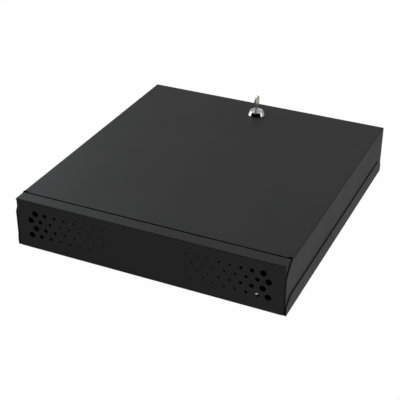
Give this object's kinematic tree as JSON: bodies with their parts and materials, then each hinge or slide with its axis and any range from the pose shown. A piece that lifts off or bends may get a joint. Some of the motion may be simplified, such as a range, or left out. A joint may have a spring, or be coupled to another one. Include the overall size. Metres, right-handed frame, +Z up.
{
  "type": "rack equipment lock box",
  "caption": "Low black sheet steel lock box for rack or desk equipment: vented front, lid hooked at the front, rear cable notches, and a keyed cam lock that turns under a catch.",
  "frame": {"origin": "on the ground below the middle of the case's outer box", "axes": "+X to the right seen from the vented front, +Y from the front to the back, +Z up"},
  "size_m": [0.3556, 0.382, 0.0948],
  "materials": {
    "black_powder_coat": "satin black powder coat with a fine even grain",
    "zinc_plated_steel": "clear zinc plate, slightly dull",
    "bright_chrome": "polished chrome plate",
    "nickel_plated_key": "bright nickel plate with fine handling marks",
    "wafer_brass": "stamped brass",
    "spring_steel": "bright drawn wire",
    "black_rubber": "matte black rubber edging"
  },
  "bodies": {
    "base": {"base_tray": "black_powder_coat", "floor_nuts": "zinc_plated_steel", "rear_catch": "black_powder_coat"},
    "lid": {"lid_shell": "black_powder_coat", "hook_tab_left": "black_powder_coat", "hook_tab_right": "black_powder_coat", "cable_edging_left": "black_rubber", "cable_edging_right": "black_rubber", "lock_housing": "bright_chrome", "toothed_washer": "zinc_plated_steel", "lock_nut": "zinc_plated_steel"},
    "plug": {"lock_plug": "bright_chrome", "wafer_1": "wafer_brass", "wafer_2": "wafer_brass", "wafer_3": "wafer_brass", "wafer_4": "wafer_brass", "wafer_5": "wafer_brass", "wafer_springs": "spring_steel", "stop_washer": "zinc_plated_steel", "lock_cam": "zinc_plated_steel", "cam_spring_washer": "zinc_plated_steel", "cam_screw": "zinc_plated_steel"},
    "key": {"key": "nickel_plated_key"}
  },
  "joints": [
    {"name": "lid_tilt", "type": "hinge", "parent": "base", "child": "lid", "pos_m": [0, -0.1733, 0.0654], "axis": [1, 0, 0], "range_deg": [0, 40]},
    {"name": "lock_turn", "type": "hinge", "parent": "lid", "child": "plug", "pos_m": [0, 0.1548, 0.0667], "axis": [0, 0, 1], "range_deg": [0, 90]},
    {"name": "key_withdraw", "type": "slide", "parent": "plug", "child": "key", "axis": [0, 0, 1], "range_m": [0, 0.021]}
  ]
}
